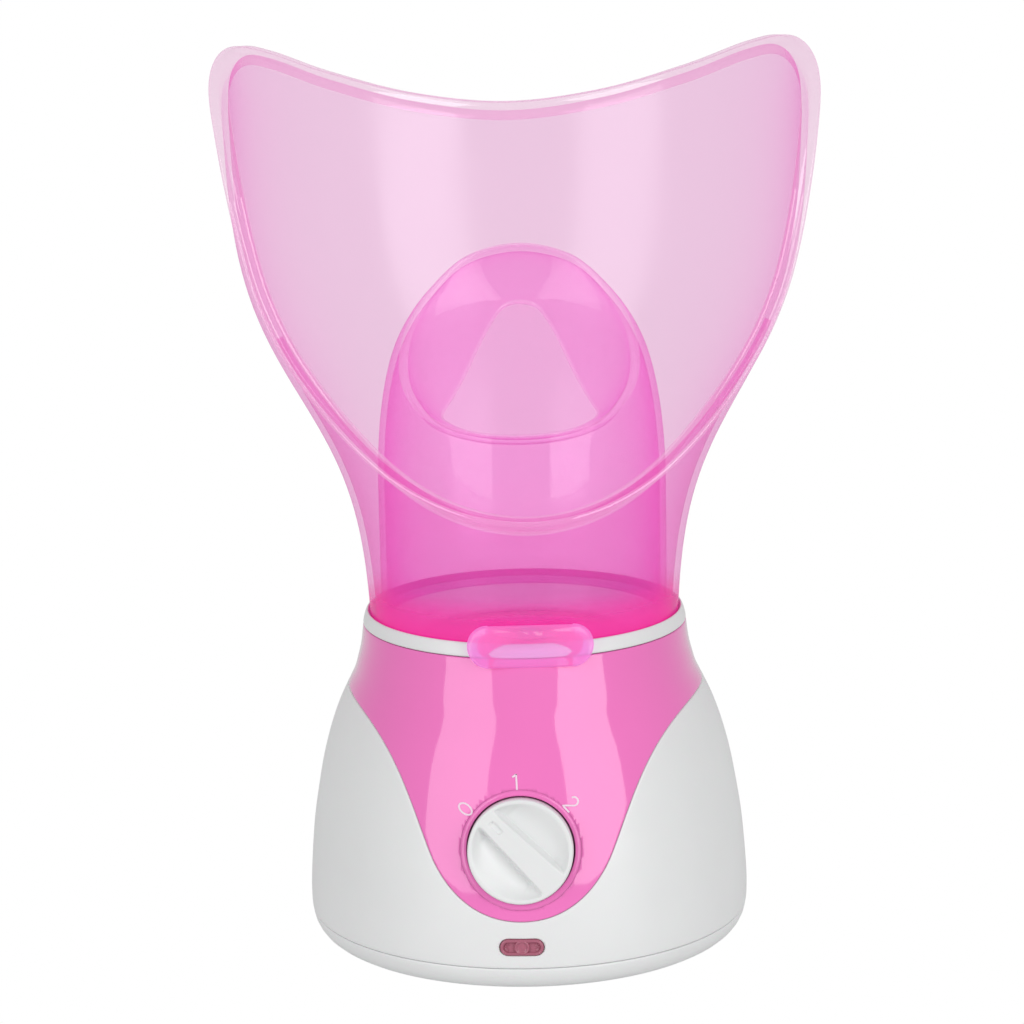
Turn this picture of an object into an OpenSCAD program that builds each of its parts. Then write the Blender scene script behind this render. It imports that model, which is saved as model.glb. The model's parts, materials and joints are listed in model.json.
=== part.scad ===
// Facial steamer: a heated base with a lift-off nose mask and a lift-off face hood.
// Millimetres, +Z up, front towards -Y, origin on the floor at the centre of the base.

/* [Base] */
// Height of the pink body, where the collar sits
body_top_z = 104.6; // [104:0.2:105.2]
// Height of the seam between bottom pan and lower housing
seam_z = 9.6; // [9:0.2:10.2]
// Height of the seam between lower and upper housing at the sides and back
belt_z = 85; // [84.5:0.5:86]
// Wall thickness of the housings
wall_t = 2.4; // [2:0.2:2.8]
// Height of the bottom of the pan above the floor
pan_z = 1.6; // [1.4:0.1:1.8]

/* [Knob and lamp] */
// Height of the centre of the knob
knob_z = 47.4; // [46.5:0.1:48.5]
// Tilt of the knob face, upwards from the vertical
knob_tilt = 9; // [8:0.5:10]
// Diameter of the knob
knob_d = 33; // [32:0.5:34]
// Diameter of the switch shaft
shaft_d = 6; // [5.6:0.2:6.4]
// Radial clearance of the shaft in its bushing
shaft_gap = 0.05; // [0.02:0.01:0.08]
// Angle of the knob's pointer at 0, anticlockwise from straight up
knob_rest = 45; // [40:1:50]
// Height of the centre of the lamp lens
lamp_z = 16.8; // [16.4:0.1:17.2]

/* [Hood and nose mask] */
// Width of the hood's wall at its widest
hood_w = 186; // [183:1:189]
// Depth of the hood's wall at its deepest, front to back
hood_d = 163; // [159:1:167]
// Wall thickness of the hood
hood_t = 2; // [1.8:0.1:2.2]
// Outer radius of the hood's skirt
skirt_r = 49.1; // [48.9:0.1:49.3]
// How far the hood is turned on the base, anticlockwise seen from above
hood_turn = 4; // [-4:1:6]
// Turn of the nose mask on the base
mask_turn = 1; // [0:1:8]
// Outer radius of the nose mask's tube
mask_r = 46.5; // [46.2:0.1:46.6]
// Wall thickness of the nose mask
mask_t = 2; // [1.8:0.1:2.2]
// Columns round the hood and round the nose mask
columns = 72; // [48:12:84]

/* [Cord entry] */
// Height of the cord entry at the back
cord_z = 24; // [22:1:26]
// Radius of the hole through the cord gland
cord_r = 3.6; // [3.4:0.1:3.8]

/* [Hidden] */
$fn = 64;
WHITE = "#eceeee";
PINK = "#f07cc8";
CLEAR_PINK = "#f2a6d8";
STEEL = "#c2c6ca";
BRASS = "#c9a24a";

// Outline of the base, seen from the side: [height, outer radius]
BODY = [
    [0, 66], [1.6, 66.6], [4.8, 70], [9.6, 71.6], [14, 71.9], [20, 71.8], [30, 71.1], [40, 70.1],
    [50, 68.5], [60, 66.6], [70, 63.9], [78, 61], [85, 57.7], [89, 55.8], [93, 54.6], [98, 53.4],
    [105, 52.5]
];
function body_r(z) = lookup(z, BODY);
function between(z0, z1) = concat([z0], [for (p = BODY) if (p[0] > z0 && p[0] < z1) p[0]], [z1]);
function reversed(list) = [for (i = [len(list) - 1:-1:0]) list[i]];

// Small helpers for curves
function bezier(p, t) =
    p[0] * pow(1 - t, 3) + 3 * p[1] * t * pow(1 - t, 2) + 3 * p[2] * t * t * (1 - t) + p[3] * pow(t, 3);
// A smooth curve through the points of a list, at u from 0 to the number of the last point
function through(list, u) =
    let (
        last = len(list) - 1,
        i = min(floor(u), last - 1),
        t = u - i,
        b = list[i],
        c = list[i + 1],
        a = i > 0 ? list[i - 1] : 2 * b - c,
        d = i < last - 1 ? list[i + 2] : 2 * c - b
    )
    0.5 * (2 * b + (c - a) * t + (2 * a - 5 * b + 4 * c - d) * t * t + (3 * b - a - 3 * c + d) * pow(t, 3));
function unit(v) = v / norm(v);
// The same curve for a list that a plane of symmetry mirrors at both ends: first and last are the
// points that come before and after it
function half_of(list, first, last, u) = through(concat([first], list, [last]), u + 1);

// A closed skin over rings of points that have the same number of points, the last ring joined to the first
module ring_skin(rings) {
    m = len(rings);
    n = len(rings[0]);
    polyhedron(
        points = [for (ring = rings) each ring],
        faces = [
            for (i = [0:m - 1], j = [0:n - 1])
                let (i2 = (i + 1) % m, j2 = (j + 1) % n)
                each [[i * n + j, i2 * n + j2, i * n + j2], [i * n + j, i2 * n + j, i2 * n + j2]]
        ],
        convexity = 10
    );
}

// A wall that follows the outline of the base, from depth d0 to depth d1 below its surface
module body_shell(d0, d1, z0, z1) {
    zs = between(z0, z1);
    rotate_extrude()
        polygon(concat(
            [for (z = zs) [body_r(z) - d0, z]],
            [for (z = reversed(zs)) [body_r(z) - d1, z]]
        ));
}

// The whole inside of the base's outline
module body_solid(z0, z1) {
    rotate_extrude()
        polygon(concat([[0, z0]], [for (z = between(z0, z1)) [body_r(z), z]], [[0, z1]]));
}

// The tongue of the upper housing seen from the front: a U that flares into the belt line
TONGUE_LOW = [[0, 24.9], [14, 24.9], [23, 33], [28, 43.5]];
TONGUE_HIGH = [[28, 43.5], [34.5, 58], [40, 82], [60, belt_z]];
TONGUE_STEPS = 7;
// How far the edge of the tongue stands off the lower housing
seam_gap = 0.04;
function tongue_side() = concat(
    [for (i = [0:TONGUE_STEPS - 1]) bezier(TONGUE_LOW, i / TONGUE_STEPS)],
    [for (i = [0:TONGUE_STEPS]) bezier(TONGUE_HIGH, i / TONGUE_STEPS)]
);
module tongue_prism() {
    side = tongue_side();
    rotate([90, 0, 0])
        linear_extrude(80)
            polygon(concat(side, [for (i = [len(side) - 1:-1:1]) [-side[i][0], side[i][1]]]));
}

// The knob's own frame: its origin on the surface of the tongue, +Z outwards along the shaft
module knob_frame() {
    translate([0, -body_r(knob_z), knob_z])
        rotate([90 - knob_tilt, 0, 0])
            children();
}

well_r = knob_d / 2 + 0.5;
well_floor = -9;
bushing_r = 4.5;

// ---- Outer mouldings ----

// Outline of the collar and its seats
hood_seat_z = 105.6;
mask_seat_z = 105.6;
bowl_mouth_r = 34;
collar_under_z = 98.4;
module collar() {
    color(WHITE)
        difference() {
            union() {
                rotate_extrude()
                    polygon([
                        [52.5, body_top_z], [52.1, 107], [51.3, 109], [50.8, 109.2], [50.7, hood_seat_z],
                        [47.6, hood_seat_z], [47.5, 107.6], [46.8, 107.6], [46.7, mask_seat_z],
                        [43.6, mask_seat_z], [bowl_mouth_r, 100.4], [bowl_mouth_r, collar_under_z],
                        [49.6, collar_under_z], [49.6, body_top_z]
                    ]);
                for (a = COLLAR_SCREW_AT)
                    rotate(a)
                        translate([45.5, 0, 96.4])
                            cylinder(r = 3.4, h = 3);
            }
            for (a = COLLAR_SCREW_AT)
                rotate(a)
                    translate([45.5, 0, 95])
                        cylinder(r = 1.2, h = 8);
            for (a = RETAINER_SCREW_AT)
                rotate(a)
                    translate([41.5, 0, 97])
                        cylinder(r = 1, h = 5.5);
        }
}

COLLAR_SCREW_AT = [90, 210, 330];
RETAINER_SCREW_AT = [30, 150, 270];
BASE_SCREW_AT = [45, 135, 225, 315];
base_screw_ring = 45;

module upper_housing() {
    color(PINK)
        difference() {
            union() {
                body_shell(0, wall_t, belt_z, body_top_z);
                body_shell(wall_t, wall_t + 1.6, belt_z, 88);
                body_shell(wall_t + 0.1, wall_t + 1.6, 80, belt_z);
                intersection() {
                    body_shell(0, wall_t, 24, belt_z);
                    translate([0, 0, seam_gap])
                        tongue_prism();
                }
                intersection() {
                    body_solid(20, 80);
                    knob_frame()
                        translate([0, 0, well_floor - 2])
                            cylinder(r = well_r + 2, h = 16);
                }
                for (a = COLLAR_SCREW_AT)
                    rotate(a)
                        translate([41.5, -5, 93.4])
                            cube([10.5, 10, 3]);
            }
            knob_frame() {
                translate([0, 0, well_floor])
                    cylinder(r = well_r, h = 20);
                translate([0, 0, well_floor - 4])
                    cylinder(r = bushing_r, h = 10);
            }
            for (a = COLLAR_SCREW_AT)
                rotate(a)
                    translate([45.5, 0, 90])
                        cylinder(r = 1.7, h = 8);
        }
}

lens_w = 13.7;
lens_h = 5.3;
lens_front = -body_r(lamp_z) - 0.4;
// An oblong prism with round ends, along -Y from y0 to y1
module oblong(w, h, y0, y1) {
    translate([0, y0, 0])
        rotate([90, 0, 0])
            linear_extrude(y0 - y1)
                union() {
                    square([w - h, h], center = true);
                    for (s = [-1, 1])
                        translate([s * (w - h) / 2, 0])
                            circle(d = h);
                }
}

gland_hole_r = 6;
module lower_housing() {
    color(WHITE)
        difference() {
            union() {
                difference() {
                    body_shell(0, wall_t, seam_z, belt_z);
                    tongue_prism();
                }
                for (a = BASE_SCREW_AT)
                    rotate(a) {
                        translate([base_screw_ring, 0, 8.2])
                            cylinder(r = 4, h = 24);
                        translate([base_screw_ring + 3, -1, seam_z])
                            cube([body_r(20) - wall_t - base_screw_ring - 2, 2, 20]);
                    }
                for (s = [-1, 1])
                    translate([s * 9.6, lens_front + 6.6, lamp_z])
                        rotate([90, 0, 0])
                            cylinder(r = 1.3, h = 4.6);
                intersection() {
                    body_solid(seam_z, 40);
                    translate([0, body_r(cord_z), cord_z])
                        rotate([90, 0, 0])
                            cylinder(r = gland_hole_r + 3, h = 5.4);
                }
            }
            for (a = BASE_SCREW_AT)
                rotate(a)
                    translate([base_screw_ring, 0, 7])
                        cylinder(r = 1.3, h = 22);
            translate([0, 0, lamp_z])
                oblong(lens_w, lens_h, -60, -76);
            translate([0, 80, cord_z])
                rotate([90, 0, 0])
                    cylinder(r = gland_hole_r, h = 25);
        }
}

pan_floor_top = pan_z + 3;
lip_z = 12.4;
foot_in = 52;
foot_out = 60;
foot_t = 3.2;
module bottom_pan() {
    color(WHITE)
        difference() {
            union() {
                rotate_extrude()
                    polygon([
                        [0, pan_z], [65.6, pan_z], [67.6, 2.4], [69, 3.6], [70, 4.8], [71, 7.2],
                        [body_r(seam_z), seam_z],
                        [body_r(seam_z) - wall_t, seam_z], [body_r(lip_z) - wall_t - 0.05, lip_z],
                        [body_r(lip_z) - wall_t - 1.8, lip_z], [body_r(seam_z) - wall_t - 2, pan_floor_top],
                        [0, pan_floor_top]
                    ]);
                for (a = BASE_SCREW_AT)
                    rotate(a)
                        translate([base_screw_ring, 0, pan_z])
                            cylinder(r = 6, h = 8.2 - pan_z);
            }
            rotate_extrude()
                translate([foot_in, 0])
                    square([foot_out - foot_in, foot_t]);
            for (a = BASE_SCREW_AT)
                rotate(a)
                    translate([base_screw_ring, 0, 0]) {
                        cylinder(r = 4, h = 6);
                        cylinder(r = 1.8, h = 20);
                    }
            for (i = [-3:3])
                translate([i * 7 - 1.5, -13, 0])
                    cube([3, 26, 8]);
            for (s = [-1, 1])
                translate([s * clamp_x, clamp_y, 2.4])
                    cylinder(r = 1.3, h = 8);
            for (a = BASE_SCREW_AT)
                rotate(a)
                    translate([base_screw_ring + 6, -2, seam_z])
                        cube([20, 4, 12]);
        }
}

module foot_ring() {
    color("#3a3a3c")
        rotate_extrude()
            polygon([
                [foot_in, foot_t], [foot_in, 0.6], [foot_in + 0.6, 0], [foot_out - 0.6, 0],
                [foot_out, 0.6], [foot_out, foot_t]
            ]);
}

// A cross-recessed screw: head downwards at the origin, shank up along +Z
module screw(head_r, head_h, shank_r, length) {
    difference() {
        union() {
            cylinder(r = head_r, h = head_h);
            cylinder(r = shank_r, h = length);
        }
        for (a = [0, 90])
            rotate(a)
                translate([-head_r * 0.6, -0.35, -1])
                    cube([head_r * 1.2, 0.7, 1 + head_h * 0.6]);
    }
}
module base_screw(i) {
    color(STEEL)
        rotate(BASE_SCREW_AT[i])
            translate([base_screw_ring, 0, 3.6])
                screw(3.4, 2.4, 1.4, 16);
}

// ---- Knob and switch ----

knob_face = 3;
knob_skirt = -7.6;
module mode_knob() {
    color(WHITE)
        knob_frame()
            rotate(knob_rest)
                difference() {
                    union() {
                        rotate_extrude()
                            polygon([
                                [0, -1], [14.4, -1], [14.9, knob_face - 0.4], [15.4, knob_face],
                                [knob_d / 2 - 0.5, knob_face], [knob_d / 2, knob_face - 0.6],
                                [knob_d / 2, knob_skirt], [knob_d / 2 - 1.6, knob_skirt],
                                [knob_d / 2 - 1.6, -2.4], [0, -2.4]
                            ]);
                        intersection() {
                            translate([-3.6, -15, -2])
                                cube([7.2, 30, knob_face + 2]);
                            translate([0, 0, -2.2])
                                cylinder(r = 15, h = knob_face + 3);
                        }
                        translate([0, 0, -7.4])
                            cylinder(r = 5, h = 6.4);
                    }
                    translate([0, 0, -20])
                        cylinder(d = shaft_d - 0.1, h = 19.4);
                    translate([-1, 8.4, knob_face - 0.7])
                        cube([2, 5, 2]);
                }
}

shaft_tail = -20;
module switch_shaft() {
    color(STEEL)
        knob_frame()
            translate([0, 0, shaft_tail])
                cylinder(d = shaft_d, h = -0.6 - shaft_tail);
}

module switch_nut() {
    color(STEEL)
        knob_frame()
            difference() {
                translate([0, 0, well_floor])
                    cylinder(r = 6.4, h = 1.4, $fn = 6);
                translate([0, 0, well_floor - 1])
                    cylinder(r = bushing_r, h = 4);
            }
}

switch_back = -27;
module rotary_switch() {
    color("#2f3135")
        knob_frame()
            difference() {
                union() {
                    translate([-12, -11, switch_back])
                        cube([24, 22, well_floor - 2 - switch_back]);
                    translate([0, 0, well_floor - 3])
                        cylinder(r = bushing_r, h = 4.4);
                }
                translate([0, 0, shaft_tail])
                    cylinder(d = shaft_d + 2 * shaft_gap, h = 30);
            }
}
module switch_terminal(i) {
    color(BRASS)
        knob_frame()
            translate([-10.2 + 5.6 * i, -3, switch_back - 7])
                cube([0.8, 4.6, 7]);
}

// ---- Power lamp ----

module lamp_lens() {
    color("#b4587c")
        translate([0, 0, lamp_z])
            difference() {
                union() {
                    oblong(lens_w, lens_h, lens_front + 6.6, lens_front);
                    oblong(lens_w + 2.4, lens_h + 2.4, lens_front + 6.6, lens_front + 3.8);
                }
                oblong(lens_w - 2.4, lens_h - 2.4, lens_front + 8, lens_front + 1.6);
            }
}
module lamp_holder() {
    color("#e6e2d6")
        translate([0, 0, lamp_z])
            difference() {
                oblong(22, 9, lens_front + 14.6, lens_front + 6.6);
                translate([0, lens_front + 20, 0])
                    rotate([90, 0, 0])
                        cylinder(r = 2.2, h = 20);
                oblong(lens_w - 2.4, lens_h - 2.4, lens_front + 8.6, lens_front);
            }
}
module neon_lamp() {
    color("#f0b070")
        translate([0, 0, lamp_z]) {
            translate([0, lens_front + 15.6, 0])
                rotate([90, 0, 0])
                    cylinder(r = 2.2, h = 8.6);
            for (s = [-1, 1])
                translate([s, lens_front + 23.6, 0])
                    rotate([90, 0, 0])
                        cylinder(r = 0.35, h = 8, $fn = 24);
        }
}

// ---- Cord entry ----

// The outer flange stands off the widest part of the base
gland_face = body_r(14);
module cord_gland() {
    color("#f4f4f2")
        translate([0, 0, cord_z])
            rotate([-90, 0, 0])
                difference() {
                    union() {
                        translate([0, 0, 62])
                            cylinder(r = gland_hole_r, h = gland_face + 5 - 62);
                        translate([0, 0, gland_face])
                            cylinder(r = 7.6, h = 2.2);
                        translate([0, 0, 62])
                            cylinder(r = 7.6, h = body_r(cord_z) - 5.4 - 62);
                    }
                    translate([0, 0, 50])
                        cylinder(r = cord_r + 0.8, h = gland_face + 0.4 - 50);
                    translate([0, 0, 50])
                        cylinder(r = cord_r, h = 40);
                }
}

clamp_y = 44;
clamp_x = 9;
module cord_clamp() {
    color(WHITE)
        difference() {
            union() {
                translate([-13, clamp_y - 4, pan_floor_top])
                    cube([26, 8, 4]);
                translate([-6, clamp_y - 4, pan_floor_top])
                    cube([12, 8, 10]);
            }
            for (s = [-1, 1])
                translate([s * clamp_x, clamp_y, 0])
                    cylinder(r = 1.6, h = 20);
            translate([0, clamp_y + 6, pan_floor_top + 5.4])
                rotate([90, 0, 0])
                    cylinder(r = 3, h = 12);
        }
}
module clamp_screw(s) {
    color(STEEL)
        translate([s * clamp_x, clamp_y, pan_floor_top + 6])
            rotate([180, 0, 0])
                screw(2.8, 2, 1.4, 8);
}

block_x = 34;
block_h = 12;
BLOCK_AT = [-5.5, 5.5];
wire_hole_z = pan_floor_top + 4.6;
module terminal_block() {
    color("#e8e6dc")
        difference() {
            translate([block_x - 8, -11, pan_floor_top])
                cube([16, 22, block_h]);
            for (y = BLOCK_AT)
                translate([block_x, y, 0]) {
                    translate([0, 0, pan_floor_top + 6])
                        cylinder(r = 2.4, h = 20);
                    translate([-20, 0, wire_hole_z])
                        rotate([0, 90, 0])
                            cylinder(r = 2, h = 40);
                }
        }
}
module block_screw(i) {
    color(BRASS)
        translate([block_x, BLOCK_AT[i], pan_floor_top + 10.2])
            rotate([180, 0, 0])
                screw(2.2, 2, 1.3, 3.6);
}

// ---- Water bowl and heater ----

bowl_floor_z = 72;
bowl_rim_z = collar_under_z - 1.4;
bowl_out_r = 34;
module water_bowl() {
    color("#d3d6da")
        rotate_extrude()
            polygon([
                [0, bowl_floor_z], [27, bowl_floor_z], [31.4, bowl_floor_z + 1.6],
                [bowl_out_r, bowl_floor_z + 6], [bowl_out_r, bowl_rim_z - 1.2], [38.6, bowl_rim_z - 1.2],
                [38.6, bowl_rim_z], [bowl_out_r - 1.2, bowl_rim_z], [bowl_out_r - 1.2, bowl_floor_z + 6.4],
                [30.6, bowl_floor_z + 2.6], [26.6, bowl_floor_z + 1.2], [0, bowl_floor_z + 1.2]
            ]);
}
module bowl_seal() {
    color("#dcdad2")
        rotate_extrude()
            polygon([
                [34.4, bowl_rim_z], [38.4, bowl_rim_z], [38.4, collar_under_z], [34.4, collar_under_z]
            ]);
}
module bowl_retainer() {
    color(STEEL)
        difference() {
            union() {
                rotate_extrude()
                    polygon([
                        [34.6, bowl_rim_z - 2.4], [39.8, bowl_rim_z - 2.4], [39.8, bowl_rim_z],
                        [38.7, bowl_rim_z], [38.7, bowl_rim_z - 1.2], [34.6, bowl_rim_z - 1.2]
                    ]);
                for (a = RETAINER_SCREW_AT)
                    rotate(a)
                        translate([39, -3.4, bowl_rim_z - 2.4])
                            cube([6, 6.8, 1.2]);
            }
            for (a = RETAINER_SCREW_AT)
                rotate(a)
                    translate([41.5, 0, 80])
                        cylinder(r = 1.4, h = 30);
        }
}
module retainer_screw(i) {
    color(STEEL)
        rotate(RETAINER_SCREW_AT[i])
            translate([41.5, 0, bowl_rim_z - 4])
                screw(2.4, 1.6, 1.1, 9);
}

plate_t = 3;
element_z = bowl_floor_z - plate_t;
module heater_plate() {
    color("#b9bdc2")
        union() {
            translate([0, 0, element_z])
                cylinder(r = 25, h = plate_t);
            cylinder_between(2, element_z - 14, element_z);
        }
}
module cylinder_between(r, z0, z1) {
    translate([0, 0, z0])
        cylinder(r = r, h = z1 - z0);
}
module heating_element() {
    color("#8f8c86")
        difference() {
            translate([-17, -11, element_z - 5])
                cube([34, 22, 5]);
            cylinder_between(2.4, 50, 90);
        }
}
module mica_sheet() {
    color("#d8c59a")
        difference() {
            translate([-19, -13, element_z - 5.6])
                cube([38, 26, 0.6]);
            cylinder_between(2.4, 50, 90);
        }
}
module heater_clamp() {
    color(STEEL)
        difference() {
            translate([-21, -6, element_z - 7.2])
                cube([42, 12, 1.6]);
            cylinder_between(2.4, 50, 90);
        }
}
module clamp_nut() {
    color(BRASS)
        difference() {
            translate([0, 0, element_z - 10.2])
                cylinder(r = 4, h = 3, $fn = 6);
            cylinder_between(2, 50, 90);
        }
}
module thermostat() {
    color("#c9c4b4")
        translate([0, 18, element_z]) {
            mirror([0, 0, 1])
                cylinder(r = 4.6, h = 7);
            for (s = [-1, 1])
                translate([s * 3 - 1.2, -0.4, -12])
                    cube([2.4, 0.8, 5]);
        }
}
fuse_z = element_z - 9;
module thermal_fuse() {
    color("#dfe3e8")
        translate([-22, -2, fuse_z])
            rotate([-90, 0, 0]) {
                cylinder(r = 1.6, h = 9);
                translate([0, 0, -5])
                    cylinder(r = 0.5, h = 19, $fn = 24);
            }
}

module collar_screw(i) {
    color(STEEL)
        rotate(COLLAR_SCREW_AT[i])
            translate([45.5, 0, 91.2])
                screw(3, 2.2, 1.3, 10);
}

// ---- Wires ----

// A round wire of 6 sides along a smooth line through the points
WIRE_STEPS = 5;
module wire(route, r, tint) {
    n = (len(route) - 1) * WIRE_STEPS;
    line = [for (i = [0:n]) through(route, i / WIRE_STEPS)];
    rings = [
        for (i = [0:n])
            let (
                way = unit(line[min(i + 1, n)] - line[max(i - 1, 0)]),
                side = unit(cross(way, [0.31, 0.17, 0.93])),
                up = cross(side, way)
            )
            [for (k = [0:5]) line[i] + r * (cos(60 * k) * side + sin(60 * k) * up)]
    ];
    color(tint)
        polyhedron(
            points = [for (ring = rings) each ring],
            faces = concat(
                [[for (k = [5:-1:0]) k]],
                [for (i = [0:n - 1], k = [0:5])
                    let (a = i * 6 + k, b = i * 6 + (k + 1) % 6)
                    each [[a, b + 6, a + 6], [a, b, b + 6]]
                ],
                [[for (k = [0:5]) n * 6 + k]]
            ),
            convexity = 8
        );
}
ROUTE_FEED = [[29, -5.5, wire_hole_z], [20, -7, 11], [10, -14, 22], [0, -24, 33], [-9.5, -30, 40]];
ROUTE_RETURN = [
    [38, 5.5, wire_hole_z], [44, 5.7, 9.6], [49, 9, 16], [46, 14, 34], [30, 20, 50], [13, 18.2, 57.6],
    [4.4, 18, 58]
];
ROUTE_HEATER = [
    [1.5, -32.5, 40], [5, -28, 48], [10, -25, 57], [14, -19, 64], [14, -15, 65.4], [14, -11.1, 65.5]
];
ROUTE_FUSE = [[-4, -32.5, 40], [-12, -26, 46], [-20, -18, 54], [-22, -11, fuse_z], [-22, -7.2, fuse_z]];
ROUTE_LAMP_1 = [[-1, -48.4, lamp_z], [-3, -45, 17.4], [-10, -39, 21], [-16, -34, 28], [-12, -31.6, 39]];
ROUTE_LAMP_2 = [
    [1, -48.4, lamp_z], [3, -45, 16.4], [12, -30, 15], [20, -6, 14], [23, 5.2, 9.8], [29, 5.5, wire_hole_z]
];

// ---- Nose mask ----

// The mask from front to back on one side: the turn at which each column stands on the tube, then the
// lip of its mouth and the edge of the opening in its dish, as [x, y, z]
MASK_AT = [0, 20, 40, 60, 78, 92, 106, 128, 154, 180];
MASK_LIP = [
    [0, -46.2, 174.4], [14.5, -43.9, 175.2], [27, -37.6, 177.8], [33.6, -28, 182.4], [37.2, -18.2, 188.3],
    [37.7, -7, 195.3], [35.2, 2.4, 202.8], [28.6, 10.8, 212.2], [17.5, 17.4, 221.6], [0, 20, 225.2]
];
MASK_HOLE = [
    [0, -30, 170.8], [12, -29, 171.4], [20.9, -24.5, 173.6], [25, -18, 175.8], [22.2, -10, 179.8],
    [18, -2, 186.5], [13.8, 6, 194.3], [9.7, 12, 200.9], [5.5, 16, 205.6], [0, 17, 206.9]
];
mask_foot_z = mask_seat_z;
mask_bend_z = 150;
// Half the width of the rounded lip of the mouth, and the place inside it, inwards and down, where the
// inner faces of the wall and the dish meet
lip_r = 1.25;
lip_core = [1.2, 4.2];
// Every column of the mouth leans in towards a point this far along y from the tube's axis
mouth_hub_y = -8;
MASK_SIDE = len(MASK_AT) - 1;
// The outward direction of the mouth
MOUTH = [0, -sin(40), cos(40)];

// Value of a list at column j, mirrored left to right for the second half of the columns
function mask_u(j) = MASK_SIDE * 2 * (j <= columns / 2 ? j : columns - j) / columns;
function mask_side(j) = j <= columns / 2 ? 1 : -1;
function flip(p, s) = [s * p[0], p[1], p[2]];
function mask_line(list, u) = half_of(list, flip(list[1], -1), flip(list[MASK_SIDE - 1], -1), u);
function mask_base(j, off) =
    let (a = mask_side(j) * half_of(MASK_AT, -MASK_AT[1], 360 - MASK_AT[MASK_SIDE - 1], mask_u(j)))
    [(mask_r - off) * sin(a), -(mask_r - off) * cos(a), mask_bend_z];
function mask_inward(j) =
    let (p = mask_edge(j))
    unit([-p[0], mouth_hub_y - p[1], 0]);
function mask_edge(j) = flip(mask_line(MASK_LIP, mask_u(j)), mask_side(j));
// Where the wall ends and the dish starts: either side of the lip outside, one shared point inside
function mask_wall_end(j, off) =
    mask_edge(j) + (off == 0 ? -lip_r * MOUTH : lip_core[0] * mask_inward(j) - lip_core[1] * MOUTH);
function mask_dish_start(j, off) =
    off == 0 ? mask_edge(j) + 2 * lip_r * mask_inward(j) - lip_r * MOUTH : mask_wall_end(j, off);
function mask_hole(j, off) = flip(mask_line(MASK_HOLE, mask_u(j)), mask_side(j)) - off * MOUTH;
function mask_wall(j, v, off) =
    let (a = mask_base(j, off), b = mask_wall_end(j, off))
    [for (i = [0:2]) a[i] + (b[i] - a[i]) * (i < 2 ? 1 - cos(90 * v) : sin(90 * v))];
function mask_dish(j, v, off) =
    let (a = mask_dish_start(j, off), d = mask_hole(j, off))
    bezier([a, a + mask_inward(j) - (off == 0 ? 3 : 1.5) * MOUTH, d + 0.35 * (a - d) - 2 * MOUTH, d], v);
function mask_ring(kind, v, off) = [
    for (j = [0:columns - 1])
        kind == "foot" ? let (p = mask_base(j, off)) [p[0], p[1], mask_foot_z]
        : kind == "wall" ? mask_wall(j, v, off)
        : kind == "lip" ? mask_edge(j) + lip_r * mask_inward(j)
        : mask_dish(j, v, off)
];
WALL_STEPS = 7;
DISH_STEPS = 7;
module nose_mask() {
    color(CLEAR_PINK, 0.7)
        rotate(mask_turn)
            ring_skin(concat(
                [mask_ring("foot", 0, 0)],
                [for (i = [0:WALL_STEPS]) mask_ring("wall", i / WALL_STEPS, 0)],
                [mask_ring("lip", 0, 0)],
                [for (i = [0:DISH_STEPS]) mask_ring("dish", i / DISH_STEPS, 0)],
                [for (i = [DISH_STEPS:-1:0]) mask_ring("dish", i / DISH_STEPS, mask_t)],
                [for (i = [WALL_STEPS - 1:-1:0]) mask_ring("wall", i / WALL_STEPS, mask_t)],
                [mask_ring("foot", 0, mask_t)]
            ));
}

// ---- Face hood ----

hood_foot_z = hood_seat_z;
// The height at which the hood's bell opens fastest, and how gently it does
bell_z = 181;
bell_soft = 19.5;
// The hood's rim from front to back on one side: [turn from the front, height]
RIM = [
    [0, 147.5], [22, 151], [41, 160.5], [54, 174.3], [62, 192.3], [67, 214], [70.5, 234], [75, 252],
    [82, 269], [94, 281], [108, 287], [122, 284], [140, 275], [160, 266], [180, 262]
];
RIM_SIDE = len(RIM) - 1;
function bell(z) = 1 / (1 + exp((bell_z - z) / bell_soft));
function hood_half_w(z) = skirt_r + (hood_w / 2 - skirt_r) * bell(z);
function hood_half_d(z) = skirt_r + (hood_d / 2 - skirt_r) * bell(z);
function hood_point(a, z, off) =
    [(hood_half_w(z) + off) * sin(a), -(hood_half_d(z) + off) * cos(a), z];
function rim_at(j) =
    let (
        u = RIM_SIDE * 2 * (j <= columns / 2 ? j : columns - j) / columns,
        before = RIM[1],
        after = RIM[RIM_SIDE - 1],
        p = half_of(RIM, [-before[0], before[1]], [360 - after[0], after[1]], u)
    )
    [(j <= columns / 2 ? 1 : -1) * p[0], p[1]];
function rim_point(j) = let (p = rim_at((j + columns) % columns)) hood_point(p[0], p[1], 0);
// Directions at the rim: out of the wall, and up off its edge
function rim_out(j) =
    let (p = rim_at(j))
    unit(cross(
        hood_point(p[0] + 1, p[1], 0) - hood_point(p[0] - 1, p[1], 0),
        hood_point(p[0], p[1] + 1, 0) - hood_point(p[0], p[1] - 1, 0)
    ));
function rim_up(j) = unit(cross(rim_out(j), rim_point(j + 1) - rim_point(j - 1)));
// Section of the rim's bead: [out of the wall, up off its edge], from the inside to the outside
BEAD = [[-2.4, 0], [-2.2, 1.8], [-0.6, 2.8], [1.2, 2.2], [3.2, 2.6], [3.8, 1.4], [2.6, 0]];
function hood_ring(v, off) = [
    for (j = [0:columns - 1])
        let (p = rim_at(j))
        v == 0 ? hood_point(p[0], hood_foot_z, off)
        : hood_point(p[0], hood_foot_z + (p[1] - 2.5 - hood_foot_z) * v, off)
];
function bead_ring(b) = [for (j = [0:columns - 1]) rim_point(j) + b[0] * rim_out(j) + b[1] * rim_up(j)];
HOOD_STEPS = 9;

tab_w = 41.6;
tab_h = 13.6;
tab_z = 108.7;
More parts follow.
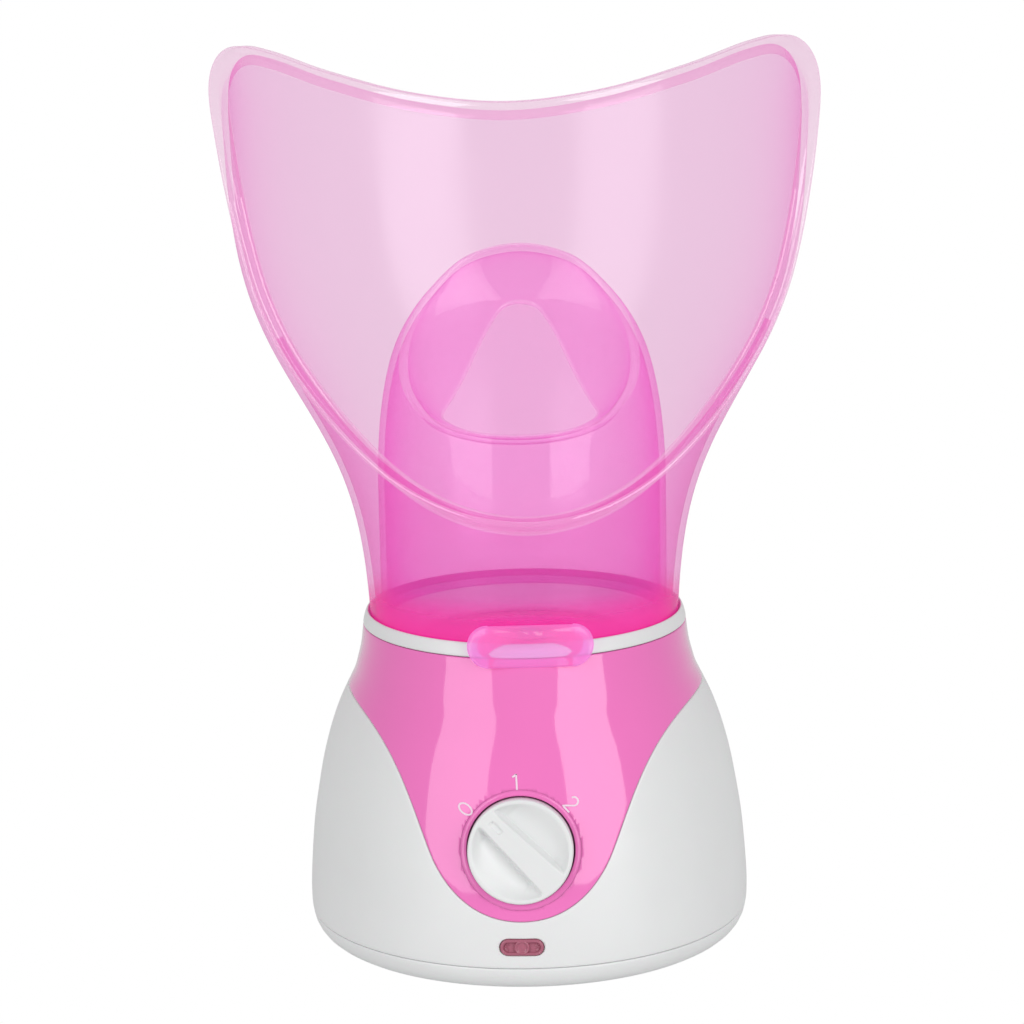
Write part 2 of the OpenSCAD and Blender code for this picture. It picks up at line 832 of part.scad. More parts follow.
// The tab's plate stands off the collar, and a bridge above the collar's edge joins it to the skirt
tab_outer_r = 55.6;
tab_inner_r = 53;
bridge_z = 109.6;
bridge_inner_r = 49.6;
module hood_tab() {
    rotate([90, 0, 0])
        linear_extrude(60)
            hull()
                for (s = [-1, 1])
                    translate([s * (tab_w - tab_h) / 2, tab_z])
                        circle(d = tab_h, $fn = 24);
}
module face_hood() {
    color(CLEAR_PINK, 0.5)
        rotate(hood_turn)
            resize([0, 0, 0])
                union() {
                    ring_skin(concat(
                        [for (i = [0:HOOD_STEPS]) hood_ring(i / HOOD_STEPS, 0)],
                        [for (b = reversed(BEAD)) bead_ring(b)],
                        [for (i = [HOOD_STEPS:-1:0]) hood_ring(i / HOOD_STEPS, -hood_t)]
                    ));
                    intersection() {
                        hood_tab();
                        difference() {
                            cylinder(r = tab_outer_r, h = 140, $fn = 144);
                            cylinder(r = tab_inner_r, h = 140, $fn = 144);
                        }
                    }
                    intersection() {
                        hood_tab();
                        difference() {
                            translate([0, 0, bridge_z])
                                cylinder(r = tab_inner_r + 1, h = 20, $fn = 144);
                            cylinder(r = bridge_inner_r, h = 140, $fn = 144);
                        }
                    }
                }
}

face_hood();
nose_mask();
collar();
upper_housing();
lower_housing();
bottom_pan();
foot_ring();
base_screw(0);  // base_screw_1
base_screw(1);  // base_screw_2
base_screw(2);  // base_screw_3
base_screw(3);  // base_screw_4
mode_knob();
switch_shaft();
rotary_switch();
switch_nut();
switch_terminal(0);  // switch_terminal_1
switch_terminal(1);  // switch_terminal_2
switch_terminal(2);  // switch_terminal_3
switch_terminal(3);  // switch_terminal_4
lamp_lens();
lamp_holder();
neon_lamp();
cord_gland();
cord_clamp();
clamp_screw(-1);  // clamp_screw_1
clamp_screw(1);  // clamp_screw_2
terminal_block();
block_screw(0);  // block_screw_1
block_screw(1);  // block_screw_2
water_bowl();
bowl_seal();
bowl_retainer();
retainer_screw(0);  // retainer_screw_1
retainer_screw(1);  // retainer_screw_2
retainer_screw(2);  // retainer_screw_3
heater_plate();
heating_element();
mica_sheet();
heater_clamp();
clamp_nut();
thermostat();
thermal_fuse();
collar_screw(0);  // collar_screw_1
collar_screw(1);  // collar_screw_2
collar_screw(2);  // collar_screw_3
wire(ROUTE_FEED, 1.1, "#5a3a28");  // wire_feed
wire(ROUTE_RETURN, 1.1, "#2f62b0");  // wire_return
wire(ROUTE_HEATER, 1.1, "#e8e8e4");  // wire_heater
wire(ROUTE_FUSE, 1.1, "#e8e8e4");  // wire_fuse
wire(ROUTE_LAMP_1, 0.8, "#c83a34");  // wire_lamp_1
wire(ROUTE_LAMP_2, 0.8, "#c83a34");  // wire_lamp_2
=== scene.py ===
"""Looks of the facial steamer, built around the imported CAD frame.

Lengths are in millimetres until they meet a mesh or a material, which are in metres.
"""

import json
import math

import bpy
from mathutils import Matrix, Vector

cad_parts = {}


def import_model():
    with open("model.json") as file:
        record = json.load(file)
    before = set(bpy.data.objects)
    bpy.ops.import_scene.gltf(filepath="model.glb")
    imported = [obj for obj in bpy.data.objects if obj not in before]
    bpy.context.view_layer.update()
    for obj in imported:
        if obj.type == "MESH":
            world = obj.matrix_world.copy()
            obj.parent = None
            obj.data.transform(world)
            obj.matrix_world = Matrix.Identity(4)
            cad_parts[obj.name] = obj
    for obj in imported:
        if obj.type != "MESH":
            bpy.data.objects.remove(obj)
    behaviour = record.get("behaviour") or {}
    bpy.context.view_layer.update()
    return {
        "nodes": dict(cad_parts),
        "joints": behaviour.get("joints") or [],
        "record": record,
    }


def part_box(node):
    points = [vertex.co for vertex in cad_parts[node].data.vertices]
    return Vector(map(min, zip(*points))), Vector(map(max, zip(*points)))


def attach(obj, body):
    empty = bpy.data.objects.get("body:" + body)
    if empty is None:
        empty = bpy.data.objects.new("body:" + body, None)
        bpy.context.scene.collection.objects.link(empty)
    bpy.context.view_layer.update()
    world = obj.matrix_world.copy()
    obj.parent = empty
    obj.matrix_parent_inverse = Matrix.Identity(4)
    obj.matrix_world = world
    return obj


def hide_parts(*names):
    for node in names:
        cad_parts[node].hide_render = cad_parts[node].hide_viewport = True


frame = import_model()

MM = 0.001
HOOD_TURN = 4
MASK_TURN = 1
BASE, KNOB, HOOD, MASK = "base", "knob", "hood", "mask"


# ---- Curves ----

def lerp(a, b, t):
    return a + (b - a) * t


def through(points, u, before=None, after=None):
    """A smooth curve through points, at u from 0 to the number of the last point.
    before and after are the points that would come next at either end, for a curve that goes on there."""
    last = len(points) - 1
    i = min(int(u), last - 1)
    t = u - i
    b, c = Vector(points[i]), Vector(points[i + 1])
    a = Vector(points[i - 1]) if i > 0 else Vector(before or 2 * b - c)
    d = Vector(points[i + 2]) if i < last - 1 else Vector(after or 2 * c - b)
    bend = 2 * a - 5 * b + 4 * c - d
    twist = 3 * b - a - 3 * c + d
    return 0.5 * (2 * b + (c - a) * t + bend * t * t + twist * t ** 3)


def half_loop(points, u):
    """The curve through the right half of a loop that the plane X = 0 mirrors."""
    (x1, *rest1), (x2, *rest2) = points[1], points[-2]
    return through(points, u, before=(-x1, *rest1), after=(-x2, *rest2))


def half_turn(points, u):
    """The curve through (turn, value) points from the front (0) to the back (180)."""
    (turn1, value1), (turn2, value2) = points[1], points[-2]
    return through(points, u, before=(-turn1, value1), after=(360 - turn2, value2))


def trace(points, steps):
    """The whole smooth curve through points, with some steps between each two."""
    n = (len(points) - 1) * steps
    return [through(points, i / steps) for i in range(n + 1)]


def bezier(p, t):
    a, b, c, d = (Vector(q) for q in p)
    return a * (1 - t) ** 3 + 3 * b * t * (1 - t) ** 2 + 3 * c * t * t * (1 - t) + d * t ** 3


def turned(p, degrees):
    return Matrix.Rotation(math.radians(degrees), 3, "Z") @ Vector(p)


# ---- Meshes ----

def mesh_piece(name, points, faces, body, material, replaces=(), slot=None):
    """A smooth-shaded piece from points in millimetres."""
    mesh = bpy.data.meshes.new(name)
    mesh.from_pydata([Vector(p) * MM for p in points], [], faces)
    mesh.validate()
    mesh.shade_smooth()
    piece = bpy.data.objects.new(name, mesh)
    bpy.context.scene.collection.objects.link(piece)
    piece.data.materials.append(material)
    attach(piece, body)
    if replaces:
        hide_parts(*replaces)
    return piece


def skin_faces(rings, closed=False):
    """Faces between rings that each close round. closed also joins the last ring to the first."""
    m, n = len(rings), len(rings[0])
    faces = []
    for i in range(m if closed else m - 1):
        i2 = (i + 1) % m
        for j in range(n):
            j2 = (j + 1) % n
            faces.append((i * n + j, i * n + j2, i2 * n + j2, i2 * n + j))
    return faces


def capped_faces(rings):
    """Faces between rings of points, and a flat end at either side."""
    n = len(rings[0])
    faces = skin_faces(rings)
    faces.append(tuple(reversed(range(n))))
    faces.append(tuple(range((len(rings) - 1) * n, len(rings) * n)))
    return faces


def skin(name, rings, body, material, caps=False, **links):
    """A piece whose surface runs through rings of points, with flat ends or closed on itself."""
    faces = capped_faces(rings) if caps else skin_faces(rings, closed=True)
    return mesh_piece(name, [p for ring in rings for p in ring], faces, body, material, **links)


def circle_ring(r, z, steps, place=None):
    """A ring of points of radius r at height z, anticlockwise seen from above."""
    ring = []
    for j in range(steps):
        a = 2 * math.pi * j / steps
        p = Vector((r * math.cos(a), r * math.sin(a), z))
        ring.append(place @ p if place else p)
    return ring


def lathe(name, profile, body, material, steps=192, place=None, **links):
    """A closed section of (radius, height) points turned about the Z axis; the outside runs upwards."""
    rings = [circle_ring(max(r, 0.01), z, steps, place) for r, z in profile]
    return skin(name, rings, body, material, **links)


def cut(piece, cutter, operation="DIFFERENCE"):
    """Cuts a piece with another, or joins them, and removes the second."""
    cutter.data.materials.append(piece.data.materials[0])
    modifier = piece.modifiers.new("cut", "BOOLEAN")
    modifier.operation = operation
    modifier.solver = "MANIFOLD"
    modifier.object = cutter
    bpy.context.view_layer.update()
    graph = bpy.context.evaluated_depsgraph_get()
    mesh = bpy.data.meshes.new_from_object(piece.evaluated_get(graph))
    piece.modifiers.clear()
    piece.data = mesh
    bpy.data.objects.remove(cutter)


def tool(name, rings):
    """A closed shape with flat ends, used only to cut or join."""
    mesh = bpy.data.meshes.new(name)
    mesh.from_pydata([Vector(p) * MM for ring in rings for p in ring], [], capped_faces(rings))
    shape = bpy.data.objects.new(name, mesh)
    bpy.context.scene.collection.objects.link(shape)
    return shape


# ---- Materials ----

def new_material(name):
    material = bpy.data.materials.new(name)
    material.use_nodes = True
    tree = material.node_tree
    return material, tree, tree.nodes["Principled BSDF"]


def add(tree, kind, **values):
    node = tree.nodes.new(kind)
    for key, value in values.items():
        if hasattr(node, key):
            setattr(node, key, value)
        else:
            node.inputs[key.replace("_", " ")].default_value = value
    return node


def ramp(tree, value, low, high, start=0.0, end=1.0, smooth=False):
    """A value that goes from low to high while another one goes from start to end."""
    node = add(tree, "ShaderNodeMapRange", interpolation_type="SMOOTHSTEP" if smooth else "LINEAR")
    for key, number in (("From Min", start), ("From Max", end), ("To Min", low), ("To Max", high)):
        node.inputs[key].default_value = number
    tree.links.new(value, node.inputs["Value"])
    return node.outputs["Result"]


def maths(tree, operation, first, second):
    """The result of a sum on a value and on either a number or another value."""
    node = add(tree, "ShaderNodeMath", operation=operation)
    tree.links.new(first, node.inputs[0])
    if isinstance(second, float):
        node.inputs[1].default_value = second
    else:
        tree.links.new(second, node.inputs[1])
    return node.outputs[0]


def grain(tree, shader, scale, height, roughness, spread):
    """Fine moulded grain: a small bump, and a roughness that varies a little."""
    place = add(tree, "ShaderNodeTexCoord")
    noise = add(tree, "ShaderNodeTexNoise", Scale=scale, Detail=3.0)
    tree.links.new(place.outputs["Object"], noise.inputs["Vector"])
    bump = add(tree, "ShaderNodeBump", Distance=height, Strength=0.6)
    tree.links.new(noise.outputs["Fac"], bump.inputs["Height"])
    bevel = add(tree, "ShaderNodeBevel", samples=4, Radius=0.0003)
    tree.links.new(bevel.outputs["Normal"], bump.inputs["Normal"])
    tree.links.new(bump.outputs["Normal"], shader.inputs["Normal"])
    wide = add(tree, "ShaderNodeTexNoise", Scale=45.0, Detail=2.0)
    tree.links.new(place.outputs["Object"], wide.inputs["Vector"])
    level = ramp(tree, wide.outputs["Fac"], max(roughness - spread, 0.02), roughness + spread)
    tree.links.new(level, shader.inputs["Roughness"])
    return wide


def plastic(
    name, colour, roughness=0.3, spread=0.05, scale=900.0, height=0.00001, coat=0.0, subsurface=0.0,
):
    """Solid plastic with fine grain and slightly uneven colour and gloss."""
    material, tree, shader = new_material(name)
    wide = grain(tree, shader, scale, height, roughness, spread)
    tint = add(tree, "ShaderNodeMix", data_type="RGBA")
    tint.inputs["A"].default_value = (*colour, 1)
    tint.inputs["B"].default_value = (*(c * 0.95 for c in colour), 1)
    tree.links.new(wide.outputs["Fac"], tint.inputs["Factor"])
    tree.links.new(tint.outputs["Result"], shader.inputs["Base Color"])
    shader.inputs["Coat Weight"].default_value = coat
    shader.inputs["Coat Roughness"].default_value = 0.04
    shader.inputs["Subsurface Weight"].default_value = subsurface
    shader.inputs["Subsurface Radius"].default_value = (0.004, 0.002, 0.003)
    return material


def metal(name, colour, roughness, scale=300.0):
    material, tree, shader = new_material(name)
    grain(tree, shader, scale, 0.000006, roughness, 0.08)
    shader.inputs["Base Color"].default_value = (*colour, 1)
    shader.inputs["Metallic"].default_value = 1.0
    return material


# How suddenly the tint and the gloss of clear plastic rise towards a grazing angle
TINT_POWER, GLOSS_POWER = 2.5, 5.0


def clear_plastic(name, passes, milk, milk_colour, glow, roughness, gloss=0.04, edge=1.8, foot=None):
    """Tinted plastic that is clear and slightly milky.

    passes is the share of light of each colour that gets through a wall, with half of the loss at each face.
    glow is the strength of a painted glow: the milk colour shines by itself, standing in for the light that
    the milk scatters inside the wall.
    edge is how much deeper the tint is at a grazing angle.
    foot gives the heights between which the plastic gets thicker towards the front, and how milky it gets.
    """
    material, tree, shader = new_material(name)
    tree.nodes.remove(shader)
    link = tree.links.new
    place = add(tree, "ShaderNodeTexCoord")
    noise = add(tree, "ShaderNodeTexNoise", Scale=30.0, Detail=2.0)
    link(place.outputs["Object"], noise.inputs["Vector"])
    level = ramp(tree, noise.outputs["Fac"], roughness * 0.6, roughness * 1.4)
    ripple = add(tree, "ShaderNodeBump", Distance=0.0002, Strength=0.05)
    link(noise.outputs["Fac"], ripple.inputs["Height"])

    facing = add(tree, "ShaderNodeLayerWeight", Blend=0.5)

    def grows(power, low, high):
        """Grows from low, seen square on, to high at a grazing angle, where the way through is longer."""
        return ramp(tree, maths(tree, "POWER", facing.outputs["Facing"], power), low, high)

    tint = add(tree, "ShaderNodeMix", data_type="RGBA")
    tint.inputs["A"].default_value = (*(p ** 0.5 for p in passes), 1)
    tint.inputs["B"].default_value = (*(p ** edge for p in passes), 1)
    link(grows(TINT_POWER, 0.0, 1.0), tint.inputs["Factor"])
    clear = add(tree, "ShaderNodeBsdfTransparent")
    link(tint.outputs["Result"], clear.inputs["Color"])
    front = add(tree, "ShaderNodeBsdfDiffuse", Color=(*milk_colour, 1))
    through_light = add(tree, "ShaderNodeBsdfTranslucent", Color=(*milk_colour, 1))
    # Painted glow: an emission in the milk colour, though the plastic is no lamp.
    painted_glow = add(tree, "ShaderNodeEmission", Color=(*milk_colour, 1), Strength=glow)
    cloud = add(tree, "ShaderNodeMixShader", Fac=0.4)
    link(front.outputs[0], cloud.inputs[1])
    link(through_light.outputs[0], cloud.inputs[2])
    cloud_with_painted_glow = add(tree, "ShaderNodeAddShader")
    link(cloud.outputs[0], cloud_with_painted_glow.inputs[0])
    link(painted_glow.outputs[0], cloud_with_painted_glow.inputs[1])
    body = add(tree, "ShaderNodeMixShader")
    milkiness = grows(TINT_POWER, milk, min(2 * edge * milk, 0.9))
    if foot:
        at = add(tree, "ShaderNodeSeparateXYZ")
        link(place.outputs["Object"], at.inputs[0])
        low_down = ramp(tree, at.outputs["Z"], foot[2], 0.0, foot[0] * MM, foot[1] * MM, smooth=True)
        in_front = ramp(tree, at.outputs["Y"], 1.0, 0.15, -10 * MM, 30 * MM, smooth=True)
        thicker = maths(tree, "MULTIPLY", low_down, in_front)
        milkiness = maths(tree, "MAXIMUM", milkiness, thicker)
    link(milkiness, body.inputs["Fac"])
    link(clear.outputs[0], body.inputs[1])
    link(cloud_with_painted_glow.outputs[0], body.inputs[2])

    shine = add(tree, "ShaderNodeBsdfGlossy", Color=(1, 1, 1, 1))
    link(level, shine.inputs["Roughness"])
    link(ripple.outputs["Normal"], shine.inputs["Normal"])
    skin_shader = add(tree, "ShaderNodeMixShader")
    link(grows(GLOSS_POWER, gloss, 0.4), skin_shader.inputs[0])
    link(body.outputs[0], skin_shader.inputs[1])
    link(shine.outputs[0], skin_shader.inputs[2])
    output = tree.nodes["Material Output"]
    link(skin_shader.outputs[0], output.inputs["Surface"])
    return material


HOOD_PLASTIC = clear_plastic(
    "hood_clear_pink", (0.985, 0.78, 0.96), 0.07, (0.94, 0.07, 0.48), 0.18, 0.2,
    gloss=0.025, edge=1.4, foot=(106, 127, 0.72),
)
# The bead's plastic is whiter and glows more than the wall: a painted highlight along the rim. Its low
# roughness is the bead's own gloss.
RIM_HIGHLIGHT_PLASTIC = clear_plastic(
    "rim_painted_highlight_pink", (0.98, 0.90, 0.97), 0.20, (0.97, 0.60, 0.82), 0.28, 0.05, gloss=0.07, edge=0.9,
)
# Deeper pink along the bead's inner edge, where one looks along the wall, and in the front groove, where it
# is painted shade.
DEEP_PINK_AND_GROOVE_SHADE_PLASTIC = clear_plastic(
    "deep_pink_and_painted_groove_shade", (0.97, 0.62, 0.90), 0.25, (0.96, 0.16, 0.58), 0.12, 0.1, edge=1.2,
)
TAB_PLASTIC = clear_plastic(
    "tab_milky_pink", (0.98, 0.67, 0.95), 0.42, (0.93, 0.38, 0.84), 0.2, 0.12, edge=0.9,
)
MASK_PLASTIC = clear_plastic(
    "mask_clear_pink", (0.99, 0.86, 0.98), 0.085, (1.0, 0.10, 0.66), 0.22, 0.06, gloss=0.015,
    foot=(106, 135, 0.3),
)
# Whiter, more glowing plastic for the mask's lip crest and the hole's edge: a painted highlight along them.
LIP_HIGHLIGHT_PLASTIC = clear_plastic(
    "lip_painted_highlight_pink", (0.985, 0.92, 0.98), 0.20, (0.98, 0.52, 0.84), 0.28, 0.06, gloss=0.03, edge=0.9,
)
PINK = plastic(
    "pink_gloss", (0.91, 0.19, 0.555), roughness=0.10, spread=0.02, scale=500.0, height=0.000003, coat=1.0,
)
PINK.node_tree.nodes["Principled BSDF"].inputs["Specular IOR Level"].default_value = 0.2
WHITE = plastic("white_satin", (0.80, 0.81, 0.81), roughness=0.34, spread=0.06, subsurface=0.1)
DARK = plastic("dark_rubber", (0.02, 0.02, 0.022), roughness=0.75, height=0.00004, scale=700.0)
SILICONE = plastic("seal_silicone", (0.62, 0.60, 0.55), roughness=0.55)
BLACK = plastic("switch_black", (0.03, 0.03, 0.034), roughness=0.45)
CREAM = plastic("cream_plastic", (0.70, 0.66, 0.54), roughness=0.5)
CERAMIC = plastic("element_ceramic", (0.42, 0.39, 0.34), roughness=0.8, height=0.00005)
MICA = plastic("mica_flakes", (0.52, 0.40, 0.22), roughness=0.35, height=0.00003, scale=250.0)
ALUMINIUM = metal("spun_aluminium", (0.80, 0.81, 0.83), 0.32)
CAST = metal("cast_aluminium", (0.56, 0.57, 0.59), 0.5)
STEEL = metal("zinc_steel", (0.60, 0.61, 0.63), 0.3)
BRASS = metal("brass", (0.78, 0.58, 0.26), 0.3)
PRINT = plastic("dial_print", (0.95, 0.72, 0.86), roughness=0.5)
WIRES = {
    "wire_brown": plastic("wire_brown", (0.10, 0.035, 0.015), roughness=0.4),
    "wire_blue": plastic("wire_blue", (0.02, 0.07, 0.30), roughness=0.4),
    "wire_white": plastic("wire_white", (0.62, 0.62, 0.58), roughness=0.8, height=0.0001, scale=1500.0),
    "wire_red": plastic("wire_red", (0.42, 0.02, 0.015), roughness=0.4),
}


def glassy(name, colour, roughness, transmission):
    """Glass or plastic that lets a share of the light through."""
    material, tree, shader = new_material(name)
    grain(tree, shader, 200.0, 0.000005, roughness, 0.04)
    shader.inputs["Base Color"].default_value = (*colour, 1)
    shader.inputs["Transmission Weight"].default_value = transmission
    return material


LENS = glassy("lens_red", (0.60, 0.18, 0.27), 0.12, 0.35)
GLASS = glassy("lamp_glass", (0.95, 0.80, 0.66), 0.05, 0.8)

SLOT_MATERIALS = {
    "hood_plastic": HOOD_PLASTIC, "mask_plastic": MASK_PLASTIC, "pink_plastic": PINK,
    "white_plastic": WHITE,
    "black_rubber": DARK, "seal_silicone": SILICONE, "lens_plastic": LENS, "switch_plastic": BLACK,
    "cream_plastic": CREAM, "lamp_glass": GLASS, "bowl_aluminium": ALUMINIUM, "plate_aluminium": CAST,
    "element_ceramic": CERAMIC, "mica": MICA, "brass": BRASS, "steel": STEEL, **WIRES,
}


def dress_cad_nodes():
    """Every CAD node that stays in view gets its slot's material."""
    for part in frame["record"]["subparts"]:
        node = frame["nodes"][part["node"]]
        node.data.materials.clear()
        node.data.materials.append(SLOT_MATERIALS[part["material_slot"]])


# ---- The base's outline ----

# (outer radius, height), as in the CAD model
BODY = [
    (66, 0), (66.6, 1.6), (70, 4.8), (71.6, 9.6), (71.9, 14), (71.8, 20), (71.1, 30), (70.1, 40),
    (68.5, 50), (66.6, 60), (63.9, 70), (61, 78), (57.7, 85), (55.8, 89), (54.6, 93), (53.4, 98),
    (52.5, 105),
]
BODY_LINE = trace(BODY, 8)
SEAM_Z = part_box("lower_housing")[0].z / MM + 1.4
BELT_Z = 85
TOP_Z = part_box("upper_housing")[1].z / MM
WALL = 2.4
# The right half of the tongue's outline, from its lowest point: two curves of (distance to the side, height)
TONGUE = [
    [(0, 24.9), (14, 24.9), (23, 33), (28, 43.5)],
    [(28, 43.5), (34.5, 58), (40, 82), (60, BELT_Z)],
]


def body_r(z):
    """Outer radius of the base at a height."""
    for a, b in zip(BODY_LINE, BODY_LINE[1:]):
        if z <= b.y:
            return lerp(a.x, b.x, (z - a.y) / (b.y - a.y)) if z > a.y else a.x
    return BODY_LINE[-1].x


def tongue_edge(turn):
    """Height of the edge between the pink and the white housing, at a turn from the front in degrees."""
    side = abs((turn + 180) % 360 - 180)
    if side >= 90:
        return BELT_Z
    lo, hi = 0.0, 2.0
    for _ in range(30):
        u = (lo + hi) / 2
        p = bezier(TONGUE[min(int(u), 1)], u - min(int(u), 1))
        if p.x < body_r(p.y) * math.sin(math.radians(side)):
            lo = u
        else:
            hi = u
    return min(p.y, BELT_Z)


def body_point(turn, z, depth=0.0):
    a = math.radians(turn)
    r = body_r(z) - depth
    return Vector((r * math.sin(a), -r * math.cos(a), z))


COLUMNS = 480
TURNS = [360 * j / COLUMNS for j in range(COLUMNS)]
EDGE = [tongue_edge(t) for t in TURNS]


def edge_slope(j):
    """How much further a step square to the edge is when it is taken straight up."""
    rise = EDGE[(j + 1) % COLUMNS] - EDGE[j - 1]
    run = math.radians(2 * 360 / COLUMNS) * body_r(EDGE[j])
    return min(math.hypot(rise, run) / run, 3.0)


SLOPE = [edge_slope(j) for j in range(COLUMNS)]
# A rounded edge: (distance from the edge, depth below the surface)
ROUNDED = [(0.7, 0.0), (0.4, 0.02), (0.22, 0.08), (0.12, 0.2), (0.08, 0.4)]


WALL_ROWS, INNER_ROWS = 44, 10
WINDOW_W, WINDOW_H, GLAND_HOLE_R = 14.1, 5.7, 6.05


def wall_rings(low, high, inner_top=0.1):
    """Rings of a housing, up its outside and down its inside.

    low and high give the height of a column's point that lies some way inside the lower and the upper edge.
    """
    columns = list(enumerate(TURNS))
    rim = ROUNDED[0][0]
    rings = [[body_point(t, low(j, gap), depth) for j, t in columns] for gap, depth in reversed(ROUNDED)]
    for i in range(1, WALL_ROWS):
        rings.append([body_point(t, lerp(low(j, rim), high(j, rim), i / WALL_ROWS)) for j, t in columns])
    rings += [[body_point(t, high(j, gap), depth) for j, t in columns] for gap, depth in ROUNDED]
    for i in range(INNER_ROWS, -1, -1):
        share = i / INNER_ROWS
        rings.append([body_point(t, lerp(low(j, 0.1), high(j, inner_top), share), WALL) for j, t in columns])
    return rings


def lower_shell():
    """The white housing, from the pan seam up to the tongue's edge."""
    rings = wall_rings(lambda j, gap: SEAM_Z + gap, lambda j, gap: EDGE[j] - gap * SLOPE[j])
    shell = skin("lower_shell", rings, BASE, WHITE, replaces=["lower_housing"], slot="white_plastic")
    lens_lo, lens_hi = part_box("lamp_lens")
    lens_z = (lens_lo.z + lens_hi.z) / 2 / MM
    cut(shell, tool("window", [oblong_ring(WINDOW_W, WINDOW_H, y, lens_z) for y in (-60, -76)]))
    gland_lo, gland_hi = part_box("cord_gland")
    gland_z = (gland_lo.z + gland_hi.z) / 2 / MM
    back = Matrix.Translation((0, 0, gland_z)) @ Matrix.Rotation(math.radians(-90), 4, "X")
    cut(shell, tool("gland_hole", [circle_ring(GLAND_HOLE_R, z, 64, back) for z in (55, 80)]))
    return shell


def pan_shell():
    """The bottom moulding, with its vent slots and screw recesses."""
    top = SEAM_Z - 0.08
    profile = [
        (0, 1.6), (65.2, 1.6), (66.4, 1.9), (67.8, 2.7), (69.1, 3.8), (70.2, 5.3), (71, 7), (71.4, 8.6),
        (71.45, top - 0.3), (71.35, top - 0.08), (71.1, top), (69.2, top), (68.9, top - 0.3), (67, 5),
        (66, 4.6), (0, 4.6),
    ]
    pan = lathe(
        "pan_shell", profile, BASE, WHITE, steps=288, replaces=["bottom_pan"], slot="white_plastic",
    )
    corners = [(-1.5, -13), (1.5, -13), (1.5, 13), (-1.5, 13)]
    for i in range(-3, 4):
        cut(pan, tool("vent", [[Vector((i * 7 + x, y, z)) for x, y in corners] for z in (0, 8)]))
    for turn in (45, 135, 225, 315):
        at = Matrix.Translation(turned((45, 0, 0), turn))
        cut(pan, tool("recess", [circle_ring(4, z, 48, at) for z in (0, 3.6)]))
    pan.data.set_sharp_from_angle(angle=math.radians(35))
    return pan


def oblong_ring(width, height, y, z, steps=24):
    """A round-ended outline in a plane facing -Y."""
    ring = []
    r = height / 2
    for end in (1, -1):
        for i in range(steps + 1):
            a = math.radians(-90 * end + 180 * i / steps)
            ring.append(Vector((end * (width - height) / 2 + r * math.cos(a), y, z + r * math.sin(a))))
    return ring


KNOB_JOINT = next(j for j in frame["joints"] if j["name"] == "knob_turn")
KNOB_OUT = -Vector(KNOB_JOINT["axis"]).normalized()
KNOB_RIGHT = Vector((1, 0, 0))
KNOB_UP = KNOB_OUT.cross(KNOB_RIGHT)
KNOB_AT = Vector(KNOB_JOINT["pos_m"]) / MM
KNOB_AXES = Matrix((KNOB_RIGHT, KNOB_UP, KNOB_OUT)).transposed().to_4x4()
KNOB_FRAME = Matrix.Translation(KNOB_AT) @ KNOB_AXES
KNOB_R = 16.5
# The well round the knob, and the hole in its floor that the shaft goes through
WELL_R = KNOB_R + 0.5
WELL_FLOOR = -9
SHAFT_HOLE_R = 4.5


def surface_behind(x, y):
    """The point of the base's surface straight behind (x, y) of the knob's plane, along the shaft."""
    lo, hi = -14.0, 4.0
    for _ in range(30):
        z = (lo + hi) / 2
        p = KNOB_FRAME @ Vector((x, y, z))
        if math.hypot(p.x, p.y) < body_r(p.z):
            lo = z
        else:
            hi = z
    return p


def upper_shell():
    """The pink neck and tongue, with the knob's well."""
    rings = wall_rings(lambda j, gap: EDGE[j] + gap * SLOPE[j], lambda j, gap: TOP_Z - gap, inner_top=0.08)
    shell = skin("upper_shell", rings, BASE, PINK, replaces=["upper_housing"], slot="pink_plastic")
    cut(shell, tool("well_mouth", [circle_ring(WELL_R + 1.9, z, 192, KNOB_FRAME) for z in (-6, 12)]))
    return shell


def well():
    """The round well that the knob sits in: its mouth follows the curve of the tongue."""
    steps = 192
    outer = WELL_R + 1.88
    mouth = [
        (outer, 0.0), (WELL_R + 1.0, 0.0), (WELL_R + 0.35, 0.04), (WELL_R + 0.1, 0.14), (WELL_R, 0.4),
    ]
    rings = [circle_ring(outer, -6, steps, KNOB_FRAME)]
    for r, drop in mouth:
        spots = circle_ring(r, 0, steps)
        rings.append([surface_behind(p.x, p.y) - drop * KNOB_OUT for p in spots])
    for r, z in (
        (WELL_R, WELL_FLOOR + 0.4), (WELL_R - 0.4, WELL_FLOOR), (SHAFT_HOLE_R, WELL_FLOOR),
        (SHAFT_HOLE_R, WELL_FLOOR - 2), (outer, WELL_FLOOR - 2),
    ):
        rings.append(circle_ring(r, z, steps, KNOB_FRAME))
    return skin("knob_well", rings, BASE, PINK, slot="pink_plastic")


# ---- Knob ----

# Heights of the knob's face and foot, half widths of its ridge at either end, and how deep its scoops are
FACE = 3.0
SKIRT = -7.6
RIDGE_NARROW, RIDGE_WIDE = 2.7, 4.2
SCOOP = 4.2
CORNER = 0.7
# The pointer: a short groove along the ridge
POINTER_Y, POINTER_W, POINTER_L, POINTER_DEEP = 10.6, 1.0, 2.4, 0.7


